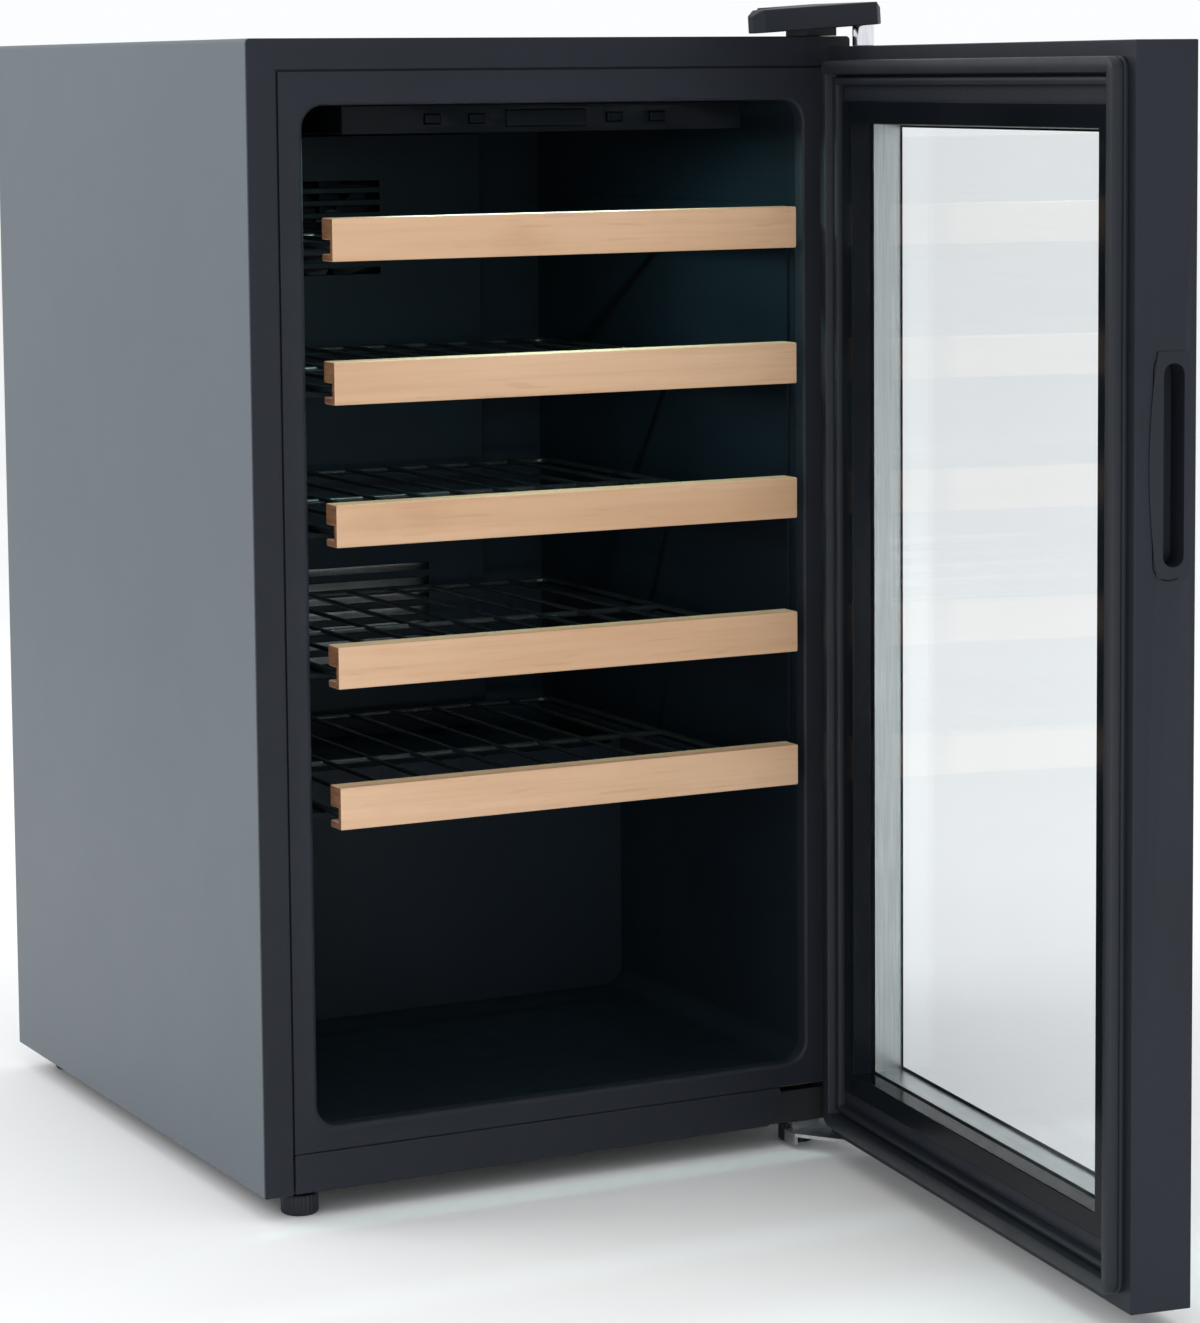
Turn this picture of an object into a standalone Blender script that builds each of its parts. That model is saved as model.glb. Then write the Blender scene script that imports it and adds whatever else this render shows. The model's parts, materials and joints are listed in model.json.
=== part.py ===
"""Free-standing wine cooler with a glass door and five slide-out shelves.

Lengths are in metres. Shapes are laid out in cabinet coordinates: X runs to the right
across the front, Y from the front face to the back, Z up from the underside of the cabinet.
The cabinet's empty then moves everything so that the origin is the middle of the floor area.
"""
import math

import bmesh
import bpy
from mathutils import Matrix, Vector

# Cabinet
WIDTH = 0.480
DEPTH = 0.530
HEIGHT = 0.814
SHEET = 0.0015
GAP = 0.0003
BAND = 0.0215
BAND_THICK = 0.002
GROOVE = 0.0015
FACE_THICK = 0.012
KICK_HEIGHT = 0.0288
KICK_END = 0.422
KICK_THICK = 0.0035
CAVITY_X = (0.041, 0.439)
CAVITY_Z = (0.0466, 0.7675)
CAVITY_BACK = 0.442
CAVITY_RADIUS = 0.016
LINER = 0.002
STEP_Y = 0.300
STEP_Z = 0.245
BAY_Y = 0.3297
BAY_Z = 0.214
BACK_Y = 0.5226
BACK_LAP = 0.002
PAN_HEIGHT = 0.024
PAN_FRONT = 0.004
PAN_ROOM = 0.0015
GLAND_PLACE = (0.430, 0.042)
GLAND_RADIUS = 0.008

# Feet
FOOT_HEIGHT = 0.018
FOOT_RADIUS = 0.0135
FOOT_TOP = -0.0033
STEM_RADIUS = 0.0045
STEM_ROOM = 0.0005
FRONT_FEET_Y = 0.020
REAR_FEET_Y = 0.498
FEET_X = (0.034, 0.442)

# Door, in its closed place: the inner face looks at the cabinet
DOOR_GAP = 0.012
DOOR_THICK = 0.0433
DOOR_Z = (-0.0042, 0.8062)
PIN_X = WIDTH - 0.0099
PIN_Y = -0.0357
OPEN_ANGLE = math.radians(83)
SIDE_BORDER = 0.047
END_BORDER = 0.0555
PANE_DEPTH = 0.013
INNER_PANE = 0.0032
SPACER_DEPTH = 0.0213
SPACER_PROUD = 0.001
OUTER_PANE = 0.004
GLAZING_LAP = 0.008
FRONT_LIP = 0.003
TRIM_WALL = 0.002
TRIM_PROUD = 0.002
TRIM_OUTSET = 0.016
GASKET_INSET = 0.010
GASKET_WIDTH = 0.018
GASKET_DEPTH = 0.0112
GRIP_Z = (0.4675, 0.6115)
GRIP_Y = (-0.0486, -0.0250)
GRIP_DEPTH = 0.020
GRIP_RADIUS = 0.0110
GRIP_SLOT_Z = (0.4760, 0.6045)
GRIP_SLOT_Y = (-0.0466, -0.0320)
GRIP_SLOT_DEPTH = 0.0175
GRIP_SLOT_RADIUS = 0.0070

# Hinges
PIN_RADIUS = 0.004
SLEEVE_RADIUS = 0.008
BUSH_RADIUS = 0.0068
BUSH_BORE = 0.0042
BUSH_LENGTH = 0.021
BUSH_ROOM = 0.001
HINGE_COVER_X = (0.375, 0.4825)
HINGE_COVER_BASE = 0.8155
HINGE_COVER_HEIGHT = 0.0165
HINGE_COVER_ROOF = 0.006
HINGE_COVER_CHAMFER = (0.006, 0.004)
HINGE_TILT = math.radians(3.64)
BRACKET_PLATE = 0.0025
BRACKET_LIFT = 0.004
BRACKET_BLOCK_X = (0.446, 0.471)
BRACKET_BLOCK_Y = (0.004, 0.036)
BRACKET_BLOCK_HEIGHT = 0.0105
TOP_SCREW_X = 0.459
TOP_SCREW_Z = HEIGHT + 0.0145
LOWER_ARM_X = (0.424, 0.478)
LOWER_ARM_TIP = -0.048
LOWER_PAD_X = (0.430, 0.474)
LOWER_PAD_END = 0.038
LOWER_SCREW_X = 0.4655
SCREW_PLACES_Y = (0.012, 0.030)

# Shelves
SHELF_BOTTOMS = (0.2613, 0.3610, 0.4606, 0.5602, 0.6599)
STRIP_X = (0.0552, 0.4248)
STRIP_Y = (-0.016, 0.003)
STRIP_HEIGHT = 0.0300
STRIP_GROOVE_Z = (0.005, 0.015)
STRIP_GROOVE_DEPTH = 0.014
RACK_X = (0.0575, 0.4225)
RACK_Y = (-0.0085, 0.395)
RACK_Z = (0.007, 0.013)
LOOP_WIRE = 0.005
CROSS_WIRE = 0.0035
CROSS_WIRES = 9
LEDGE_TOP = 0.0067
LEDGE_THICK = 0.003
LEDGE_WIDTH = 0.0245
RAIL_Y = (0.020, 0.400)

# Cold side and light
COVER_X = (0.110, 0.370)
COVER_Y = (0.408, 0.4417)
COVER_Z = (0.270, 0.740)
FAN_Z = 0.665
FAN_RADIUS = 0.041
FAN_HUB = 0.016
FAN_BLADES = 7
HUB_Y = (0.4125, 0.4262)
BLADE_PITCH = math.radians(28)
HOUSING_X = (0.080, 0.400)
HOUSING_Y = (0.022, 0.095)
HOUSING_Z = (0.747, 0.7672)
BUTTON_SIZE = (0.012, 0.0044, 0.006)
BUTTON_X = {
    "power_button": 0.150,
    "up_button": 0.185,
    "down_button": 0.295,
    "light_button": 0.330,
}
BUTTON_Z = 0.757
BUTTON_PROUD = 0.0014

FINISHES = {
    "side_paint": ((0.16, 0.18, 0.20), 0.35, 0.0),
    "frame_plastic": ((0.018, 0.019, 0.022), 0.35, 0.0),
    "liner_plastic": ((0.008, 0.009, 0.010), 0.30, 0.0),
    "foam": ((0.75, 0.68, 0.42), 0.90, 0.0),
    "machine_paint": ((0.02, 0.02, 0.022), 0.45, 0.0),
    "zinc_steel": ((0.60, 0.61, 0.62), 0.35, 1.0),
    "chrome": ((0.75, 0.76, 0.78), 0.12, 1.0),
    "aluminium": ((0.70, 0.71, 0.72), 0.30, 1.0),
    "copper": ((0.72, 0.40, 0.26), 0.35, 1.0),
    "rubber": ((0.012, 0.012, 0.013), 0.70, 0.0),
    "gloss_plastic": ((0.010, 0.010, 0.011), 0.12, 0.0),
    "white_plastic": ((0.75, 0.75, 0.73), 0.40, 0.0),
    "clear_glass": ((0.80, 0.88, 0.88), 0.05, 0.0),
    "light_lens": ((0.80, 0.95, 0.95), 0.30, 0.0),
    "wire_coating": ((0.015, 0.015, 0.016), 0.40, 0.0),
    "beech": ((0.60, 0.38, 0.20), 0.50, 0.0),
}


# ---------------------------------------------------------------- helpers

def clear_scene():
    for old in list(bpy.data.objects):
        bpy.data.objects.remove(old)


def finish_material(name):
    """One Principled material for each finish, made on first use."""
    if name in bpy.data.materials:
        return bpy.data.materials[name]
    colour, roughness, metallic = FINISHES[name]
    material = bpy.data.materials.new(name)
    material.use_nodes = True
    shader = material.node_tree.nodes["Principled BSDF"]
    shader.inputs["Base Color"].default_value = (*colour, 1.0)
    shader.inputs["Roughness"].default_value = roughness
    shader.inputs["Metallic"].default_value = metallic
    return material


def group(name, anchor=(0, 0, 0), parent=None, turn=0.0):
    """An empty at anchor (cabinet coordinates); its pieces keep cabinet coordinates."""
    empty = bpy.data.objects.new(name, None)
    bpy.context.collection.objects.link(empty)
    empty["anchor"] = tuple(anchor)
    empty.location = anchor
    empty.rotation_euler.z = turn
    if parent:
        empty.parent = parent
        empty.location = Vector(anchor) - Vector(parent["anchor"])
    return empty


def add_object(name, data, owner):
    piece = bpy.data.objects.new(name, data)
    bpy.context.collection.objects.link(piece)
    piece.parent = owner
    piece.location = -Vector(owner["anchor"])
    return piece


def solid(name, shape, finish, owner, smooth=False):
    """Turn a bmesh in cabinet coordinates into a named piece of its owner's group."""
    mesh = bpy.data.meshes.new(name)
    bmesh.ops.recalc_face_normals(shape, faces=shape.faces)
    shape.to_mesh(mesh)
    shape.free()
    mesh.materials.append(finish_material(finish))
    if smooth:
        mesh.shade_smooth()
        mesh.set_sharp_from_angle(angle=math.radians(35))
    return add_object(name, mesh, owner)


def combine(target, shape, operation):
    """Cut a shape out of a piece, or join it on, with a hidden tool body."""
    tool_name = f"{target.name}_tool_{len(target.modifiers) + 1}"
    mesh = bpy.data.meshes.new(tool_name)
    bmesh.ops.recalc_face_normals(shape, faces=shape.faces)
    shape.to_mesh(mesh)
    shape.free()
    tool = bpy.data.objects.new(tool_name, mesh)
    bpy.context.collection.objects.link(tool)
    tool.parent = target.parent
    tool.location = target.location
    tool.rotation_euler = target.rotation_euler
    tool.hide_render = True
    tool.display_type = 'WIRE'
    modifier = target.modifiers.new(operation.title(), 'BOOLEAN')
    modifier.operation = operation
    modifier.object = tool


def cut(target, *shapes):
    for shape in shapes:
        combine(target, shape, 'DIFFERENCE')


def join(target, *shapes):
    for shape in shapes:
        combine(target, shape, 'UNION')


def to_space(axis, u, v, w):
    """Point (u, v) of an outline at height w along an axis."""
    return {"X": (w, u, v), "Y": (u, w, v), "Z": (u, v, w)}[axis]


def prism(outline, lo, hi, axis="Y"):
    """Extrude an outline between lo and hi. Outlines are (y, z), (x, z) or (x, y)."""
    shape = bmesh.new()
    low = [shape.verts.new(to_space(axis, u, v, lo)) for u, v in outline]
    high = [shape.verts.new(to_space(axis, u, v, hi)) for u, v in outline]
    shape.faces.new(low)
    shape.faces.new(high[::-1])
    for k in range(len(outline)):
        n = (k + 1) % len(outline)
        shape.faces.new((low[k], high[k], high[n], low[n]))
    return shape


def rectangle(us, vs):
    return [(us[0], vs[0]), (us[1], vs[0]), (us[1], vs[1]), (us[0], vs[1])]


def box(xs, ys, zs):
    return prism(rectangle(xs, zs), ys[0], ys[1])


def rounded_rectangle(us, vs, radius, steps=4):
    """Rectangle whose corners are arcs of the given number of steps."""
    points = []
    corners = ((us[1], vs[0], -90), (us[1], vs[1], 0), (us[0], vs[1], 90), (us[0], vs[0], 180))
    for u, v, start in corners:
        centre_u = u - radius if u == us[1] else u + radius
        centre_v = v - radius if v == vs[1] else v + radius
        for k in range(steps + 1):
            angle = math.radians(start + 90 * k / steps)
            points.append((centre_u + radius * math.cos(angle), centre_v + radius * math.sin(angle)))
    return points


def circle(u, v, radius, steps=16):
    angles = [2 * math.pi * k / steps for k in range(steps)]
    return [(u + radius * math.cos(a), v + radius * math.sin(a)) for a in angles]


def inset(pair, amount):
    return (pair[0] + amount, pair[1] - amount)


def ring(outer, inner, lo, hi, axis="Y"):
    """Frame between two outlines with the same number of points."""
    shape = bmesh.new()
    loops = []
    for outline, height in ((outer, lo), (outer, hi), (inner, hi), (inner, lo)):
        loops.append([shape.verts.new(to_space(axis, u, v, height)) for u, v in outline])
    for a, b in zip(loops, loops[1:] + loops[:1]):
        for k in range(len(outer)):
            n = (k + 1) % len(outer)
            shape.faces.new((a[k], a[n], b[n], b[k]))
    return shape


def turned(profile, x, y, steps=20):
    """Turn a profile of (radius, z) points about the vertical through (x, y)."""
    shape = bmesh.new()
    loops = []
    for radius, z in profile:
        loops.append([shape.verts.new((u, v, z)) for u, v in circle(x, y, radius, steps)])
    for a, b in zip(loops, loops[1:]):
        for k in range(steps):
            n = (k + 1) % steps
            shape.faces.new((a[k], a[n], b[n], b[k]))
    shape.faces.new(loops[0])
    shape.faces.new(loops[-1][::-1])
    return shape


def grille(us, vs, bars_u, bars_v, lo, hi, axis):
    """Flat plate over us and vs that is solid only along the given bars."""
    u_lines = sorted({u for bar in bars_u for u in bar} | set(us))
    v_lines = sorted({v for bar in bars_v for v in bar} | set(vs))

    def is_solid(i, j):
        if not (0 <= i < len(u_lines) - 1 and 0 <= j < len(v_lines) - 1):
            return False
        mid_u = (u_lines[i] + u_lines[i + 1]) / 2
        mid_v = (v_lines[j] + v_lines[j + 1]) / 2
        across = any(a < mid_u < b for a, b in bars_u)
        along = any(a < mid_v < b for a, b in bars_v)
        return across or along

    shape = bmesh.new()
    verts = {}

    def vert(i, j, w):
        if (i, j, w) not in verts:
            verts[i, j, w] = shape.verts.new(to_space(axis, u_lines[i], v_lines[j], w))
        return verts[i, j, w]

    sides = (((0, -1), (0, 0), (1, 0)), ((1, 0), (1, 0), (1, 1)),
             ((0, 1), (1, 1), (0, 1)), ((-1, 0), (0, 1), (0, 0)))
    for i in range(len(u_lines) - 1):
        for j in range(len(v_lines) - 1):
            if not is_solid(i, j):
                continue
            for w in (lo, hi):
                corners = ((i, j), (i + 1, j), (i + 1, j + 1), (i, j + 1))
                shape.faces.new([vert(a, b, w) for a, b in corners])
            for (di, dj), a, b in sides:
                if not is_solid(i + di, j + dj):
                    pa = (i + a[0], j + a[1])
                    pb = (i + b[0], j + b[1])
                    shape.faces.new((vert(*pa, lo), vert(*pb, lo), vert(*pb, hi), vert(*pa, hi)))
    return shape


def turn_shape(shape, angle, axis, pivot):
    """Rotate a bmesh about an axis through a pivot point."""
    rotation = Matrix.Rotation(angle, 4, axis)
    to_pivot = Matrix.Translation(pivot)
    bmesh.ops.transform(shape, matrix=to_pivot @ rotation @ to_pivot.inverted(), verts=shape.verts)
    return shape


def slots(us, rows, height, ys):
    """One cutter for each horizontal slot of a vertical panel."""
    return [box(us, ys, (z, z + height)) for z in rows]


# ---------------------------------------------------------------- cabinet

def make_shell(cabinet):
    wrap_y = (BAND_THICK + GAP, DEPTH)
    outline = [(0, 0), (0, HEIGHT), (WIDTH, HEIGHT), (WIDTH, 0), (WIDTH - SHEET, 0),
               (WIDTH - SHEET, HEIGHT - SHEET), (SHEET, HEIGHT - SHEET), (SHEET, 0)]
    solid("outer_wrap", prism(outline, *wrap_y), "side_paint", cabinet)

    outline = [(0, 0), (0, HEIGHT), (WIDTH, HEIGHT), (WIDTH, 0), (WIDTH - BAND, 0),
               (WIDTH - BAND, HEIGHT - BAND), (BAND, HEIGHT - BAND), (BAND, 0)]
    solid("front_band", prism(outline, 0, BAND_THICK), "frame_plastic", cabinet)

    frame_x = (BAND + GROOVE, WIDTH - BAND - GROOVE)
    frame_z = (KICK_HEIGHT + GAP, HEIGHT - BAND - GROOVE)
    face = solid("front_frame", box(frame_x, (0, FACE_THICK), frame_z), "frame_plastic", cabinet)
    opening = rounded_rectangle(CAVITY_X, CAVITY_Z, CAVITY_RADIUS)
    cut(face, prism(opening, -FACE_THICK, 2 * FACE_THICK))

    end = KICK_HEIGHT / 2
    outline = [(frame_x[0], 0), (KICK_END - end, 0), (KICK_END, end),
               (KICK_END - end / 3, KICK_HEIGHT), (frame_x[0], KICK_HEIGHT)]
    solid("kick_plate", prism(outline, 0, KICK_THICK), "frame_plastic", cabinet)


def make_back_and_base(cabinet):
    panel_x = inset((0, WIDTH), SHEET + GAP)
    panel_y = (BACK_Y, BACK_Y + SHEET)
    panel_z = (BAY_Z + BACK_LAP, HEIGHT - SHEET - GAP)
    solid("back_panel", box(panel_x, panel_y, panel_z), "machine_paint", cabinet)

    pan = solid("base_pan", box(panel_x, (PAN_FRONT, BACK_Y - GAP), (0, PAN_HEIGHT)),
                "machine_paint", cabinet)
    cut(pan, box(inset(panel_x, SHEET), (PAN_FRONT + SHEET, DEPTH), (SHEET, 2 * PAN_HEIGHT)))
    for x in FEET_X:
        for y in (FRONT_FEET_Y, REAR_FEET_Y):
            cut(pan, prism(circle(x, y, STEM_RADIUS + STEM_ROOM), -SHEET, 2 * SHEET, "Z"))


def stepped_profile(front, back, floor, top, step_y, step_z):
    """Side view of the inside: a floor, a step over the machine bay, the back and the top."""
    return [(front, floor), (step_y, floor), (step_y, step_z), (back, step_z),
            (back, top), (front, top)]


def make_liner(cabinet):
    front = FACE_THICK + GAP
    profile = stepped_profile(front, CAVITY_BACK + LINER, CAVITY_Z[0] - LINER,
                              CAVITY_Z[1] + LINER, STEP_Y + LINER, STEP_Z - LINER)
    outer_x = inset(CAVITY_X, -LINER)
    liner = solid("inner_liner", prism(profile, *outer_x, "X"), "liner_plastic", cabinet)
    front_room = rounded_rectangle(CAVITY_X, CAVITY_Z, CAVITY_RADIUS)
    rear_room = rounded_rectangle(CAVITY_X, (STEP_Z, CAVITY_Z[1]), CAVITY_RADIUS)
    cut(liner, prism(front_room, 0, STEP_Y))
    cut(liner, prism(rear_room, FACE_THICK, CAVITY_BACK))

    inner = LINER + GAP
    foam = solid("insulation", prism(stepped_profile(
        front, BACK_Y - GAP, PAN_HEIGHT + PAN_ROOM, HEIGHT - SHEET - GAP, BAY_Y, BAY_Z),
        *inset((0, WIDTH), SHEET + GAP), "X"), "foam", cabinet)
    hollow = stepped_profile(0, CAVITY_BACK + inner, CAVITY_Z[0] - inner, CAVITY_Z[1] + inner,
                             STEP_Y + inner, STEP_Z - inner)
    cut(foam, prism(hollow, *inset(CAVITY_X, -inner), "X"))


def make_rails(cabinet):
    """A comb on each side wall whose teeth carry the racks."""
    foot = SHELF_BOTTOMS[0] + 0.0035
    top = SHELF_BOTTOMS[-1] + STRIP_HEIGHT
    for side, name in ((1, "left_shelf_rails"), (-1, "right_shelf_rails")):
        wall = CAVITY_X[0] + GAP if side == 1 else CAVITY_X[1] - GAP
        inner = wall + side * LINER
        tip = wall + side * LEDGE_WIDTH
        outline = [(wall, foot), (inner, foot)]
        for z in SHELF_BOTTOMS:
            ledge = z + LEDGE_TOP
            outline += [(inner, ledge - LEDGE_THICK), (tip, ledge - LEDGE_THICK),
                        (tip, ledge), (inner, ledge)]
        outline += [(inner, top), (wall, top)]
        solid(name, prism(outline, *RAIL_Y), "liner_plastic", cabinet)


def square(centre, half):
    """X and Y pairs of a square about a point."""
    return tuple((c - half, c + half) for c in centre)


def make_machine_bay(cabinet):
    base = SHEET + GAP
    centre = (0.365, 0.420)
    foot_half = 0.067
    foot_height = 0.014
    profile = [(0.058, base + 0.010), (0.066, base + 0.022), (0.066, base + 0.085),
               (0.055, base + 0.122), (0.030, base + 0.138)]
    compressor = solid("compressor", turned(profile, *centre), "machine_paint", cabinet, True)
    join(compressor, box(*square(centre, foot_half), (base, base + foot_height)))

    tray_z = base + 0.142
    tray_half = 0.057
    tray_height = 0.020
    wall = 0.002
    tray = solid("drip_tray", box(*square(centre, tray_half), (tray_z, tray_z + tray_height)),
                 "white_plastic", cabinet)
    cut(tray, box(*square(centre, tray_half - wall), (tray_z + wall, tray_z + 2 * tray_height)))

    neck, can = 0.003, 0.008
    profile = [(neck, 0.030), (can, 0.040), (can, 0.120), (neck, 0.132)]
    solid("filter_dryer", turned(profile, 0.282, 0.480, 12), "copper", cabinet, True)
    make_condenser(cabinet)
    make_rear_cover(cabinet)


def make_rear_cover(cabinet):
    """Vented sheet behind the machine bay, with the mains cable's gland."""
    cover_z = (PAN_HEIGHT + GAP, BAY_Z + BACK_LAP - SHEET / 3)
    cover = solid("rear_cover", box(inset((0, WIDTH), SHEET + GAP), (BACK_Y, BACK_Y + SHEET),
                                    cover_z), "machine_paint", cabinet)
    through = (BACK_Y - SHEET, DEPTH)
    slot_length, slot_height = 0.110, 0.006
    lowest, pitch = 0.060, 0.018
    rows = [lowest + pitch * k for k in range(8)]
    for column in (0.040, 0.185, 0.330):
        cut(cover, *slots((column, column + slot_length), rows, slot_height, through))
    cut(cover, prism(circle(*GLAND_PLACE, GLAND_RADIUS + 0.0005), *through))

    rim = 0.0035
    inner_end, outer_end = 0.512, 0.528
    gland = solid("cable_gland", prism(circle(*GLAND_PLACE, GLAND_RADIUS), inner_end,
                                       outer_end - 0.0005), "rubber", cabinet)
    join(gland, prism(circle(*GLAND_PLACE, GLAND_RADIUS + rim), BACK_Y + SHEET + GAP, outer_end))


def serpentine(ends, bottom, pitch, runs):
    """Points (x, z) of straight runs joined by half turns of four steps."""
    points = []
    for k in range(runs):
        z = bottom + pitch * k
        xs = ends if k % 2 == 0 else ends[::-1]
        points += [(xs[0], z), (xs[1], z)]
        if k < runs - 1:
            outward = 1 if k % 2 == 0 else -1
            for step in range(1, 4):
                angle = math.pi * step / 4
                points.append((xs[1] + outward * pitch / 2 * math.sin(angle),
                               z + pitch / 2 * (1 - math.cos(angle))))
    return points


def make_condenser(cabinet):
    """Flat serpentine of tube behind the rear cover."""
    tube_radius = 0.003
    coil_y = 0.490
    points = serpentine((0.040, 0.250), 0.040, 0.024, 7)
    curve = bpy.data.curves.new("condenser_coil", 'CURVE')
    curve.dimensions = '3D'
    curve.bevel_depth = tube_radius
    curve.bevel_resolution = 1
    curve.use_fill_caps = True
    spline = curve.splines.new('POLY')
    spline.points.add(len(points) - 1)
    for point, (x, z) in zip(spline.points, points):
        point.co = (x, coil_y, z, 1.0)
    curve.materials.append(finish_material("machine_paint"))
    add_object("condenser_coil", curve, cabinet)


# ---------------------------------------------------------------- cold side and light

def make_cold_side(cabinet):
    centre_x = sum(COVER_X) / 2
    cover = solid("evaporator_cover", box(COVER_X, COVER_Y, COVER_Z), "liner_plastic", cabinet)
    wall = 0.0025
    cut(cover, box(inset(COVER_X, wall), (COVER_Y[0] + wall, DEPTH), inset(COVER_Z, wall)))
    through = (COVER_Y[0] - wall, COVER_Y[0] + 2 * wall)
    rows = 8
    for half, bottom, pitch, height in ((0.040, FAN_Z - 0.0365, 0.010, 0.005),
                                        (0.080, 0.300, 0.012, 0.006)):
        heights = [bottom + pitch * k for k in range(rows)]
        cut(cover, *slots((centre_x - half, centre_x + half), heights, height, through))

    solid("evaporator_plate", box(inset(COVER_X, 0.020), (0.428, 0.431), (0.290, 0.600)),
          "aluminium", cabinet)
    motor_radius = 0.017
    motor_y = (HUB_Y[1] + 2 * GAP, COVER_Y[1] - GAP)
    solid("fan_motor", prism(circle(centre_x, FAN_Z, motor_radius, 20), *motor_y),
          "frame_plastic", cabinet)
    return centre_x


def make_fan(owner, centre_x):
    fan = solid("fan_blades", prism(circle(centre_x, FAN_Z, FAN_HUB, 20), *HUB_Y),
                "frame_plastic", owner)
    pivot = Vector((centre_x, sum(HUB_Y) / 2, FAN_Z))
    half_width, half_thick, root = 0.012, 0.0008, 0.003
    for k in range(FAN_BLADES):
        blade = box((centre_x - half_width, centre_x + half_width),
                    (pivot.y - half_thick, pivot.y + half_thick),
                    (FAN_Z + FAN_HUB - root, FAN_Z + FAN_RADIUS))
        turn_shape(blade, BLADE_PITCH, 'Z', pivot)
        turn_shape(blade, 2 * math.pi * k / FAN_BLADES, 'Y', pivot)
        join(fan, blade)


def make_controls(cabinet, owners):
    housing = solid("control_housing", box(HOUSING_X, HOUSING_Y, HOUSING_Z),
                    "gloss_plastic", cabinet)
    front = HOUSING_Y[0]
    window_x = (0.208, 0.272)
    window_z = (0.7510, 0.7630)
    window_depth = 0.002
    cut(housing, box(window_x, (front - window_depth, front + window_depth), window_z))
    solid("display_window", box(inset(window_x, GAP), (front - 0.0005, front + window_depth - GAP),
                                inset(window_z, GAP)), "gloss_plastic", cabinet)
    lens_x = (0.130, 0.350)
    lens_y = (0.058, 0.080)
    underside = HOUSING_Z[0]
    lens_depth = 0.003
    cut(housing, box(lens_x, lens_y, (underside - lens_depth, underside + lens_depth)))
    solid("led_lens", box(inset(lens_x, GAP), inset(lens_y, GAP),
                          (underside + GAP, underside + lens_depth - GAP)), "light_lens", cabinet)
    long, deep, tall = BUTTON_SIZE
    room = 0.0005
    pocket_y = (front - deep, front + deep)
    for name, x in BUTTON_X.items():
        xs = (x - long / 2, x + long / 2)
        zs = (BUTTON_Z - tall / 2, BUTTON_Z + tall / 2)
        cut(housing, box(inset(xs, -room), pocket_y, inset(zs, -room)))
        ys = (front - BUTTON_PROUD, front - BUTTON_PROUD + deep)
        solid(name, box(xs, ys, zs), "gloss_plastic", owners[name])


# ---------------------------------------------------------------- door

def make_door(door):
    inner_y = -DOOR_GAP
    outer_y = inner_y - DOOR_THICK
    opening_x = inset((0, WIDTH), SIDE_BORDER)
    opening_z = inset(DOOR_Z, END_BORDER)
    pane_front = inner_y - PANE_DEPTH
    spacer_front = pane_front - INNER_PANE - GAP
    glass_front = spacer_front - SPACER_DEPTH - GAP

    frame = solid("door_frame", box((0, WIDTH), (outer_y, inner_y), DOOR_Z),
                  "frame_plastic", door)
    pocket_x = inset(opening_x, -GLAZING_LAP)
    pocket_z = inset(opening_z, -GLAZING_LAP)
    glass_x = inset((0, WIDTH), FRONT_LIP)
    glass_z = inset(DOOR_Z, FRONT_LIP)
    lining = TRIM_WALL + GAP
    cut(frame, box(inset(opening_x, -lining), (outer_y, 0), inset(opening_z, -lining)))
    cut(frame, box(pocket_x, (outer_y, pane_front + GAP), pocket_z))
    cut(frame, box(glass_x, (2 * outer_y, glass_front + GAP), glass_z))
    cut(frame, prism(rounded_rectangle(GRIP_Y, GRIP_Z, GRIP_RADIUS), -GRIP_DEPTH, GRIP_DEPTH, "X"))
    for end, way in ((DOOR_Z[0], 1), (DOOR_Z[1], -1)):
        depth = sorted((end - way * BUSH_LENGTH, end + way * (BUSH_LENGTH + BUSH_ROOM)))
        cut(frame, prism(circle(PIN_X, PIN_Y, BUSH_RADIUS + GAP), *depth, "Z"))

    pane_x = inset(pocket_x, GAP)
    pane_z = inset(pocket_z, GAP)
    solid("inner_glass", box(pane_x, (pane_front - INNER_PANE, pane_front), pane_z),
          "clear_glass", door)
    sight_line = rectangle(inset(opening_x, SPACER_PROUD), inset(opening_z, SPACER_PROUD))
    spacer = ring(rectangle(pane_x, pane_z), sight_line,
                  spacer_front - SPACER_DEPTH, spacer_front)
    solid("glass_spacer", spacer, "aluminium", door)
    solid("outer_glass", box(inset(glass_x, GAP), (glass_front - OUTER_PANE, glass_front),
                             inset(glass_z, GAP)), "clear_glass", door)

    flange = rectangle(inset(opening_x, -TRIM_OUTSET), inset(opening_z, -TRIM_OUTSET))
    trim = solid("door_trim", ring(flange, rectangle(opening_x, opening_z),
                 inner_y + GAP, inner_y + TRIM_PROUD), "gloss_plastic", door)
    wall = rectangle(inset(opening_x, -TRIM_WALL), inset(opening_z, -TRIM_WALL))
    join(trim, ring(wall, rectangle(opening_x, opening_z), pane_front + GAP,
                    inner_y + TRIM_PROUD / 2))

    outer = rectangle(inset((0, WIDTH), GASKET_INSET), inset(DOOR_Z, GASKET_INSET))
    inner_edge = GASKET_INSET + GASKET_WIDTH
    inner = rectangle(inset((0, WIDTH), inner_edge), inset(DOOR_Z, inner_edge))
    solid("door_gasket", ring(outer, inner, inner_y + GAP, inner_y + GASKET_DEPTH), "rubber", door)
    make_grip(door)
    make_bushes(door)


def make_grip(door):
    outline = rounded_rectangle(inset(GRIP_Y, GAP), inset(GRIP_Z, GAP), GRIP_RADIUS - GAP)
    grip = solid("grip_insert", prism(outline, 0, GRIP_DEPTH - GAP, "X"), "frame_plastic", door)
    slot = rounded_rectangle(GRIP_SLOT_Y, GRIP_SLOT_Z, GRIP_SLOT_RADIUS)
    cut(grip, prism(slot, -GRIP_DEPTH, GRIP_SLOT_DEPTH, "X"))


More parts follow.
